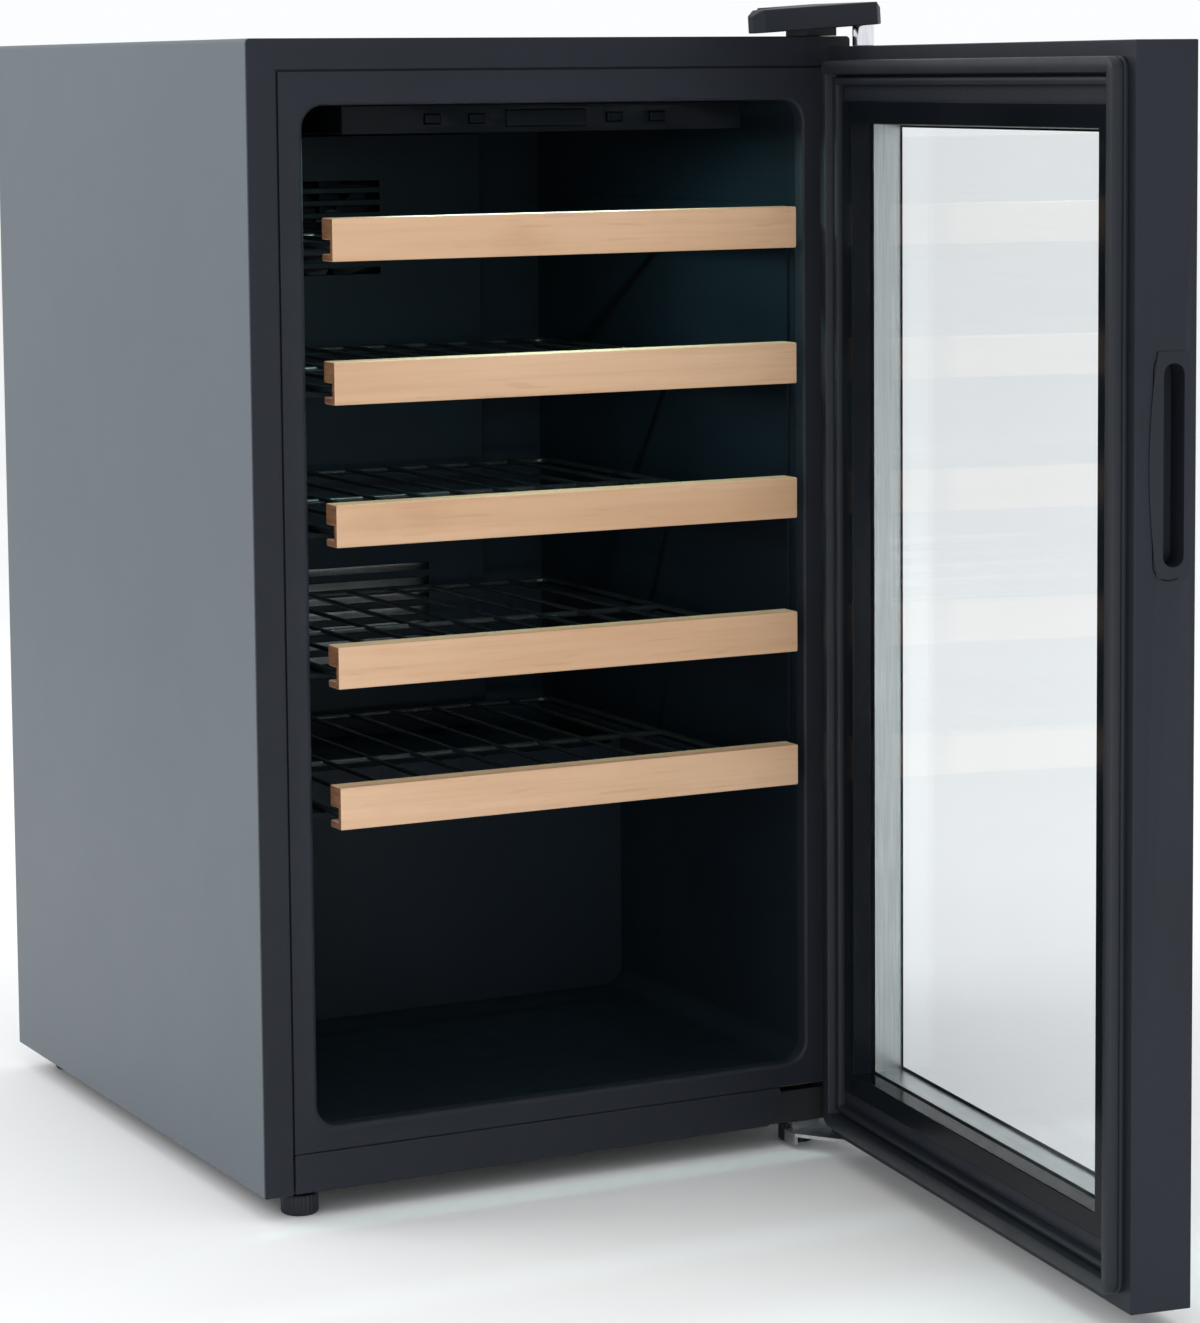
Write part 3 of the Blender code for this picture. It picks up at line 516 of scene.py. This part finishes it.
def u_outline(xs, zs, wall, radius):
    """Upside-down U: two legs and a top with rounded outer corners."""
    outer = [(xs[1], zs[0]), *arc(xs[1] - radius, zs[1] - radius, radius, 0, 90, 8),
             *arc(xs[0] + radius, zs[1] - radius, radius, 90, 90, 8), (xs[0], zs[0])]
    lower = zs[1] - wall
    soft = max(radius - wall, 0.4 * MM)
    inner = [(xs[0] + wall, zs[0]), *arc(xs[0] + wall + soft, lower - soft, soft, 180, -90, 4),
             *arc(xs[1] - wall - soft, lower - soft, soft, 90, -90, 4), (xs[1] - wall, zs[0])]
    return outer + inner


def make_shell():
    xs, ys, zs = cabinet_box("outer_wrap")
    finished("outer_wrap_finished", prism(u_outline(xs, zs, SHEET, WRAP_RADIUS), *ys),
             ["outer_wrap"], 0.4 * MM)

    xs, ys, zs = cabinet_box("front_band")
    leg = cabinet_box("front_frame")[0][0] - xs[0] - GROOVE
    finished("front_band_finished", prism(u_outline(xs, zs, leg, WRAP_RADIUS), *ys),
             ["front_band"], 0.5 * MM)


CAVITY_RADIUS = 16 * MM
LINER = 2 * MM
STEP_Y = 300 * MM
STEP_Z = 245 * MM


def cavity_box():
    """The cavity's x and z pairs, from the liner that surrounds it."""
    xs, _, zs = cabinet_box("inner_liner")
    return inset(xs, LINER), inset(zs, LINER)


def make_front_frame():
    """Face plate whose opening has a rolled lip."""
    xs, ys, zs = cabinet_box("front_frame")
    cavity_x, cavity_z = cavity_box()
    lip = [(d * MM, w * MM) for d, w in ((0.0, 12.0), (0.0, 2.0), (-0.5, 0.8), (-1.6, 0.0),
                                        (-2.9, -0.35), (-4.4, -0.2), (-5.4, 0.0))]
    loops = []
    for d, w in lip:
        outline = rounded_rectangle(inset(cavity_x, d), inset(cavity_z, d), CAVITY_RADIUS - d, 14)
        loops.append([(u, ys[0] + w, v) for u, v in outline])
    shape = bmesh.new()
    rows = [[shape.verts.new(p) for p in loop] for loop in loops]
    for a, b in zip(rows, rows[1:]):
        for k in range(len(a)):
            n = (k + 1) % len(a)
            shape.faces.new((a[k], a[n], b[n], b[k]))
    rims = [[shape.verts.new((u, w, v)) for u, v in rectangle(xs, zs)] for w in ys]
    for k in range(4):
        n = (k + 1) % 4
        shape.faces.new((rims[0][k], rims[0][n], rims[1][n], rims[1][k]))
    per_corner = len(rows[0]) // 4
    order = (1, 2, 3, 0)
    for row, rim in ((rows[-1], rims[0]), (rows[0], rims[1])):
        for q in range(4):
            run = row[q * per_corner:(q + 1) * per_corner]
            shape.faces.new([rim[order[q]], *run[::-1]])
            shape.faces.new([rim[order[q]], run[-1], row[(q + 1) * per_corner % len(row)],
                             rim[order[(q + 1) % 4]]])
    finished("front_frame_finished", shape, ["front_frame"], 0.5 * MM)
    make_frame_flange(xs, ys, zs)


def make_frame_flange(xs, ys, zs):
    """The face plate's flange behind the band, which closes the groove between them."""
    reach, tuck = 6 * MM, 3 * MM
    depth = (ys[0] + 2.6 * MM, ys[0] + 4.6 * MM)
    outer = ((xs[0] - reach, xs[1] + reach), (zs[0] + tuck, zs[1] + reach))
    inner = (inset(xs, tuck), inset(zs, 2 * tuck))
    loops = [[(u, w, v) for u, v in rectangle(*pair)]
             for pair, w in ((outer, depth[0]), (outer, depth[1]), (inner, depth[1]), (inner, depth[0]))]
    finished("front_frame_flange", loft(loops, closed=True), [], slot="frame_plastic",
             body="cabinet")


def make_liner():
    """The cavity's skin, with a step over the machine bay and rounded corners."""
    xs, ys, zs = cabinet_box("inner_liner")
    cavity_x, cavity_z = cavity_box()
    back = ys[1] - LINER
    profile = [(ys[0], zs[0]), (STEP_Y + LINER, zs[0]), (STEP_Y + LINER, STEP_Z - LINER),
               (ys[1], STEP_Z - LINER), (ys[1], zs[1]), (ys[0], zs[1])]
    shell = prism(profile, *xs, "X")
    front_room = rounded_rectangle(cavity_x, cavity_z, CAVITY_RADIUS, 14)
    rear_room = rounded_rectangle(cavity_x, (STEP_Z, cavity_z[1]), CAVITY_RADIUS, 14)
    shell = combined(shell, prism(front_room, 0.0, STEP_Y))
    shell = combined(shell, prism(rear_room, ys[0], back))
    finished("inner_liner_finished", shell, ["inner_liner"], 1.2 * MM, 3)


# ---------------------------------------------------------------- back

SCREW_RADIUS = 4.2 * MM
SCREW_MARGIN = 9 * MM
RIB_SPANS = ((0.10, 0.30), (0.38, 0.62), (0.70, 0.90))


def screw_head(x, y, z):
    """Domed head that looks to the back, with a cross recess."""
    radius = SCREW_RADIUS
    dome = [(radius, y), (radius, y + 0.8 * MM), (radius * 0.86, y + 1.6 * MM),
            (radius * 0.5, y + 2.1 * MM), (radius * 0.12, y + 2.2 * MM)]
    head = turned(dome, x, z, "Y", 24)
    long, narrow = radius * 0.55, radius * 0.13
    for wide, tall in ((long, narrow), (narrow, long)):
        head = combined(head, box((x - wide, x + wide), (y + 1.0 * MM, y + 4 * MM),
                                  (z - tall, z + tall)))
    return head


def make_back():
    """Panel with three pressed fields, its screws, and the louvred cover of the machine bay."""
    xs, ys, zs = cabinet_box("back_panel")
    face, height = ys[1], zs[1] - zs[0]
    panel = box(xs, ys, zs)
    proud, slope, radius = 1.6 * MM, 6 * MM, 22 * MM
    span_x = inset(xs, 45 * MM)
    for lo, hi in RIB_SPANS:
        span_z = (zs[0] + lo * height, zs[0] + hi * height)
        base = [(u, face - 0.5 * MM, v) for u, v in rounded_rectangle(span_x, span_z, radius)]
        crown = [(u, face + proud, v) for u, v in rounded_rectangle(
            inset(span_x, slope), inset(span_z, slope), radius - slope)]
        panel = combined(panel, loft([base, crown]), 'UNION')
    finished("back_panel_finished", panel, ["back_panel"], 0.4 * MM)

    rows = [zs[0] + SCREW_MARGIN + (height - 2 * SCREW_MARGIN) * k / 4 for k in range(5)]
    heads = [screw_head(x, face, z) for x in inset(xs, SCREW_MARGIN) for z in rows]
    heads.append(screw_head(middle(xs), face, zs[1] - SCREW_MARGIN))
    finished("back_panel_screws", merged(heads), [], slot="zinc_steel", body="cabinet")

    softened("rear_cover", 0.3 * MM)
    cover_x, cover_y, cover_z = cabinet_box("rear_cover")
    columns = (*inset(cover_x, SCREW_MARGIN), middle(cover_x))
    heads = [screw_head(x, cover_y[1], z) for x in columns for z in inset(cover_z, 8 * MM)]
    finished("rear_cover_screws", merged(heads), [], slot="zinc_steel", body="cabinet")
    finished("rear_cover_louvres", merged(louvres(cover_y[1])), [], 0.25 * MM, 1,
             slot="machine_paint", body="cabinet")


LOUVRE_LEFTS = (40 * MM, 185 * MM, 330 * MM)
LOUVRE_LENGTH = 110 * MM
LOUVRE_BOTTOM = 60 * MM
LOUVRE_PITCH = 18 * MM
LOUVRE_ROWS = 8


def quarter(face, z, reach, height, angles):
    """Points on a quarter ellipse that stands off the cover's face."""
    turns = [math.radians(angle) for angle in angles]
    return [(face + reach * math.cos(a), z + height * math.sin(a)) for a in turns]


def louvres(face):
    """A pressed hood over each slot of the rear cover."""
    hoods = []
    for left in LOUVRE_LEFTS:
        for row in range(LOUVRE_ROWS):
            z = LOUVRE_BOTTOM + LOUVRE_PITCH * row
            skin = quarter(face, z, 4.5 * MM, 7.8 * MM, range(90, -1, -15))
            inner = quarter(face, z, 3.8 * MM, 7.0 * MM, range(0, 91, 15))
            hoods.append(prism(skin + inner, left, left + LOUVRE_LENGTH, "X"))
    return hoods


# ---------------------------------------------------------------- machine bay

COMPRESSOR_X = 365 * MM
COMPRESSOR_Y = 420 * MM
COMPRESSOR_PROFILE = (
    (56.0, 10), (62.0, 14), (65.5, 24), (66.0, 60), (68.5, 62), (68.5, 66), (66.0, 68), (66.0, 86),
    (64.0, 100), (58.0, 115), (48.0, 127), (32.0, 135), (10.0, 138))
FOOT_PLATE_X = (298 * MM, 432 * MM)
FOOT_PLATE_Y = (352 * MM, 488 * MM)
GROMMET_PLACES = ((310, 364), (420, 364), (310, 476), (420, 476))
GROMMET_PROFILE = ((7, 3), (9, 6), (6, 9), (9, 12), (4, 13))


def make_machine_bay():
    """Compressor with its welded rim, foot plate and grommets, and its neighbours."""
    base = cabinet_box("compressor")[2][0]
    profile = [(radius * MM, base + height * MM) for radius, height in COMPRESSOR_PROFILE]
    plate = rounded_rectangle(FOOT_PLATE_X, FOOT_PLATE_Y, 14 * MM)
    shapes = [turned(profile, COMPRESSOR_X, COMPRESSOR_Y), prism(plate, base, base + 3 * MM, "Z")]
    finished("compressor_finished", merged(shapes), ["compressor"])
    profile = [(radius * MM, base + height * MM) for radius, height in GROMMET_PROFILE]
    for k, (x, y) in enumerate(GROMMET_PLACES, 1):
        finished(f"compressor_grommet_{k}", turned(profile, x * MM, y * MM, steps=24), [],
                 slot="rubber", body="cabinet")
    for node in ("drip_tray", "base_pan", "cable_gland"):
        softened(node, 0.6 * MM)
    for node in ("filter_dryer", "condenser_coil", "insulation"):
        keep_node(node)


# ---------------------------------------------------------------- cold side, controls and light

def make_inside():
    """Evaporator, fan, shelf rails, light and controls."""
    softened("evaporator_cover", 1.0 * MM)
    softened("fan_blades", 0.4 * MM)
    softened("fan_motor", 1.5 * MM)
    keep_node("evaporator_plate")
    softened("left_shelf_rails", 0.7 * MM)
    softened("right_shelf_rails", 0.7 * MM)
    softened("control_housing", 1.2 * MM, 3)
    softened("display_window", 0.5 * MM)
    softened("led_lens", 0.6 * MM)
    for name in ("power_button", "up_button", "down_button", "light_button"):
        softened(name, 0.7 * MM, 3)


# ---------------------------------------------------------------- shelves

LOOP_RADIUS = 2.5 * MM
LENGTHWISE_RADIUS = 1.75 * MM
LENGTHWISE_WIRES = 9


def make_shelf(number):
    """Beech strip, and a rack of one wire loop, a cross wire and wires along Y."""
    softened(f"shelf_{number}_strip", 1.1 * MM, 3)
    node = f"shelf_{number}_rack"
    xs, ys, zs = cabinet_box(node)
    loop_x, loop_y = inset(xs, LOOP_RADIUS), inset(ys, LOOP_RADIUS)
    loop_z = zs[0] + LOOP_RADIUS
    wire_z = zs[1] - LENGTHWISE_RADIUS
    outline = rounded_rectangle(loop_x, loop_y, 12 * MM, 8)
    splines = [([(x, y, loop_z) for x, y in outline], 1.0, True)]
    centre_y = middle(loop_y)
    splines.append(([(loop_x[0], centre_y, loop_z), (loop_x[1], centre_y, loop_z)], 1.0, False))
    share = LENGTHWISE_RADIUS / LOOP_RADIUS
    for k in range(LENGTHWISE_WIRES):
        x = loop_x[0] + (loop_x[1] - loop_x[0]) * (k + 1) / (LENGTHWISE_WIRES + 1)
        splines.append(([(x, loop_y[0], wire_z), (x, loop_y[1], wire_z)], share, False))
    wires(f"{node}_finished", splines, LOOP_RADIUS, [node], f"shelf_{number}", "wire_coating")


# ---------------------------------------------------------------- door

GASKET_RADIUS = 9 * MM
GASKET_PROFILE = (
    (0.0, 0.3), (0.0, 1.8), (0.9, 2.8), (0.9, 3.4), (0.0, 4.4), (0.0, 9.6), (0.35, 10.6),
    (1.2, 11.2), (8.8, 11.2), (9.8, 10.8), (10.2, 9.8), (10.2, 4.6), (10.6, 3.2), (11.4, 2.6),
    (12.0, 3.4), (12.4, 5.0), (13.4, 5.8), (16.6, 5.8), (17.6, 5.2), (18.0, 4.0), (18.0, 0.3))


def make_door():
    """Frame, panes, trim and grip, with the gasket swept round the inner face."""
    for node, bevel in (("door_frame", 0.8), ("inner_glass", 0.5), ("outer_glass", 0.6),
                        ("glass_spacer", 0.3), ("door_trim", 0.7), ("grip_insert", 0.6),
                        ("top_bush", 0.4), ("bottom_bush", 0.4)):
        softened(node, bevel * MM)
    xs, ys, zs = closed_box("door_gasket")
    base = closed_box("door_frame")[1][1]
    profile = [(d * MM, base + w * MM) for d, w in GASKET_PROFILE]
    finished("door_gasket_finished", swept_ring(xs, zs, profile, GASKET_RADIUS), ["door_gasket"])
    make_glass_border()
    make_grip_rim()


def make_glass_border():
    """Black band printed on the inside of the outer pane, round the window."""
    glass_x, glass_y, glass_z = closed_box("outer_glass")
    gap = 0.3 * MM
    film = (glass_y[1] + 0.08 * MM, glass_y[1] + gap - 0.08 * MM)
    edge = 0.8 * MM
    spacer_x, _, spacer_z = closed_box("glass_spacer")
    overlap = 11.0 * MM
    border_x, border_z = inset(spacer_x, overlap), inset(spacer_z, overlap)
    loops = []
    for us, vs, w in ((inset(glass_x, edge), inset(glass_z, edge), film[0]),
                      (inset(glass_x, edge), inset(glass_z, edge), film[1]),
                      (border_x, border_z, film[1]), (border_x, border_z, film[0])):
        loops.append([(u, w, v) for u, v in rectangle(us, vs)])
    finished("glass_border", loft(loops, closed=True), [], slot="gloss_plastic", body="door")


GRIP_SLOT_Y = (-46.6 * MM, -32.0 * MM)
GRIP_SLOT_Z = (476.0 * MM, 604.5 * MM)
GRIP_SLOT_RADIUS = 7 * MM


def make_grip_rim():
    """Thin raised rim round the grip slot, with a bowed edge on the side of the fingers."""
    bow_y, end_y, far_y = -22.1 * MM, -27.7 * MM, -50.0 * MM
    low, high = GRIP_SLOT_Z[0] - 7.1 * MM, GRIP_SLOT_Z[1] + 7.7 * MM
    half, rise = (high - low) / 2, bow_y - end_y
    radius = (half ** 2 + rise ** 2) / (2 * rise)
    angle = math.degrees(math.asin(half / radius))
    corner = 5 * MM
    outline = [*arc(bow_y - radius, (low + high) / 2, radius, -angle, 2 * angle, 20),
               *arc(far_y + corner, high - corner, corner, 90, 90, 6),
               *arc(far_y + corner, low + corner, corner, 180, 90, 6)]
    rim = prism(outline, -0.7 * MM, -0.02 * MM, "X")
    slot = rounded_rectangle(GRIP_SLOT_Y, GRIP_SLOT_Z, GRIP_SLOT_RADIUS)
    rim = combined(rim, prism(slot, -5 * MM, 5 * MM, "X"))
    finished("grip_rim", rim, [], 0.5 * MM, 3, slot="frame_plastic", body="door")


# ---------------------------------------------------------------- hinges and feet

def make_hinges():
    softened("hinge_cover", 1.0 * MM, 3)
    for node in ("top_hinge_bracket", "bottom_hinge_bracket", "top_hinge_pin",
                 "bottom_hinge_pin"):
        softened(node, 0.4 * MM)
    for end in ("top", "bottom"):
        for k in (1, 2):
            softened(f"{end}_hinge_screw_{k}", 0.25 * MM)


def ribbed(radius, ribs, steps_per_rib, depth):
    """Circle whose edge has rounded ribs, as angles and radii."""
    count = ribs * steps_per_rib
    for k in range(count):
        angle = 2 * math.pi * k / count
        wave = 0.5 + 0.5 * math.cos(ribs * angle)
        yield angle, radius - depth * wave ** 2


def make_foot(node):
    """Levelling foot: ribbed rim, rounded tread and a threaded stem."""
    xs, ys, zs = cabinet_box(node)
    x, y, radius = middle(xs), middle(ys), (xs[1] - xs[0]) / 2
    levels = [(0.90, 0.0, 0.0), (0.97, 0.7, 0.3), (1.0, 1.8, 1.0), (1.0, 12.2, 1.0),
              (0.98, 13.6, 0.6), (0.92, 14.6, 0.0), (0.36, 15.0, 0.0)]
    loops = []
    for share, height, strength in levels:
        loops.append([(x + r * share * math.cos(a), y + r * share * math.sin(a),
                       zs[0] + height * MM)
                      for a, r in ribbed(radius, 24, 6, 0.7 * MM * strength)])
    body = loft(loops)
    stem = []
    pitch = 1.25 * MM
    height = zs[0] + 15.2 * MM
    while height + pitch < zs[1]:
        stem += [(4.4 * MM, height), (3.8 * MM, height + pitch / 2)]
        height += pitch
    finished(f"{node}_finished", merged([body, turned(stem, x, y, steps=24)]), [node])


# ---------------------------------------------------------------- studio

def make_floor():
    shape = prism(rectangle((-40.0, 40.0), (-40.0, 40.0)), FLOOR_Z - 0.02, FLOOR_Z - 0.0002, "Z")
    mesh = bpy.data.meshes.new("floor")
    shape.to_mesh(mesh)
    shape.free()
    material = new_material("floor", roughness=0.75, specular_ior_level=0.2)
    mottle = remap(material, noise(material, 2.0), (0.3, 0.7), (0.0, 1.0))
    to_shader(material, mix(material, mottle, (0.90, 0.90, 0.90, 1), (0.93, 0.93, 0.93, 1)),
              "Base Color")
    mesh.materials.append(material)
    floor = bpy.data.objects.new("floor", mesh)
    bpy.context.scene.collection.objects.link(floor)


def make_area(name, place, target, size, power, colour=(1.0, 1.0, 1.0)):
    light = bpy.data.lights.new(name, 'AREA')
    light.shape = 'RECTANGLE'
    light.size, light.size_y = size
    light.energy = power
    light.color = colour
    obj = bpy.data.objects.new(name, light)
    bpy.context.scene.collection.objects.link(obj)
    obj.location = Vector(place) + ORIGIN
    obj.rotation_euler = (Vector(target) - Vector(place)).to_track_quat('-Z', 'Y').to_euler()


def make_lights():
    """White surround, a soft key from the left, two fills and the lamp behind the lens."""
    world = bpy.data.worlds.new("studio")
    world.use_nodes = True
    background = world.node_tree.nodes["Background"]
    background.inputs["Color"].default_value = (0.97, 0.985, 1.0, 1.0)
    background.inputs["Strength"].default_value = 1.0
    bpy.context.scene.world = world
    bpy.context.scene.view_settings.view_transform = 'Standard'
    make_area("key", (-1.9, 1.5, 1.9), (0.0, 0.45, 0.7), (1.4, 1.4), 22.0)
    make_area("overhead", (0.2, -0.6, 4.2), (0.2, -0.6, 0.0), (5.0, 5.0), 30.0)
    make_area("low_front", (-0.3, -1.8, 0.12), (0.2, 0.0, 0.02), (1.6, 0.24), 6.0)
    xs, ys, zs = cabinet_box("led_lens")
    make_area("cavity_light", (middle(xs), middle(ys), zs[0] - 2 * MM),
              (middle(xs), middle(ys), 0.0), (0.20, 0.02), 1.0, (0.55, 1.0, 0.93))


CAMERA_PLACE = (-1.0400, -2.5596, 0.7874)
CAMERA_LENS = 108.76
CAMERA_SHIFT = -0.14
CAMERA_YAW = math.radians(27.094)
CAMERA_PITCH = math.radians(5.742)
CAMERA_ROLL = math.radians(-0.491)


def make_camera():
    data = bpy.data.cameras.new("camera")
    data.sensor_width = 36.0
    data.lens = CAMERA_LENS
    data.shift_y = CAMERA_SHIFT
    camera = bpy.data.objects.new("camera", data)
    bpy.context.scene.collection.objects.link(camera)
    turn = (Matrix.Rotation(-CAMERA_YAW, 4, 'Z')
            @ Matrix.Rotation(math.pi / 2 - CAMERA_PITCH, 4, 'X')
            @ Matrix.Rotation(CAMERA_ROLL, 4, 'Z'))
    camera.matrix_world = Matrix.Translation(Vector(CAMERA_PLACE) + ORIGIN) @ turn
    bpy.context.scene.camera = camera


def main():
    make_shell()
    make_front_frame()
    make_liner()
    make_back()
    softened("kick_plate", 2.2 * MM, 4)
    make_machine_bay()
    make_inside()
    for number in range(1, 6):
        make_shelf(number)
    make_door()
    make_hinges()
    for corner in ("front_left", "front_right", "rear_left", "rear_right"):
        make_foot(f"{corner}_foot")
    make_floor()
    make_lights()
    make_camera()


main()
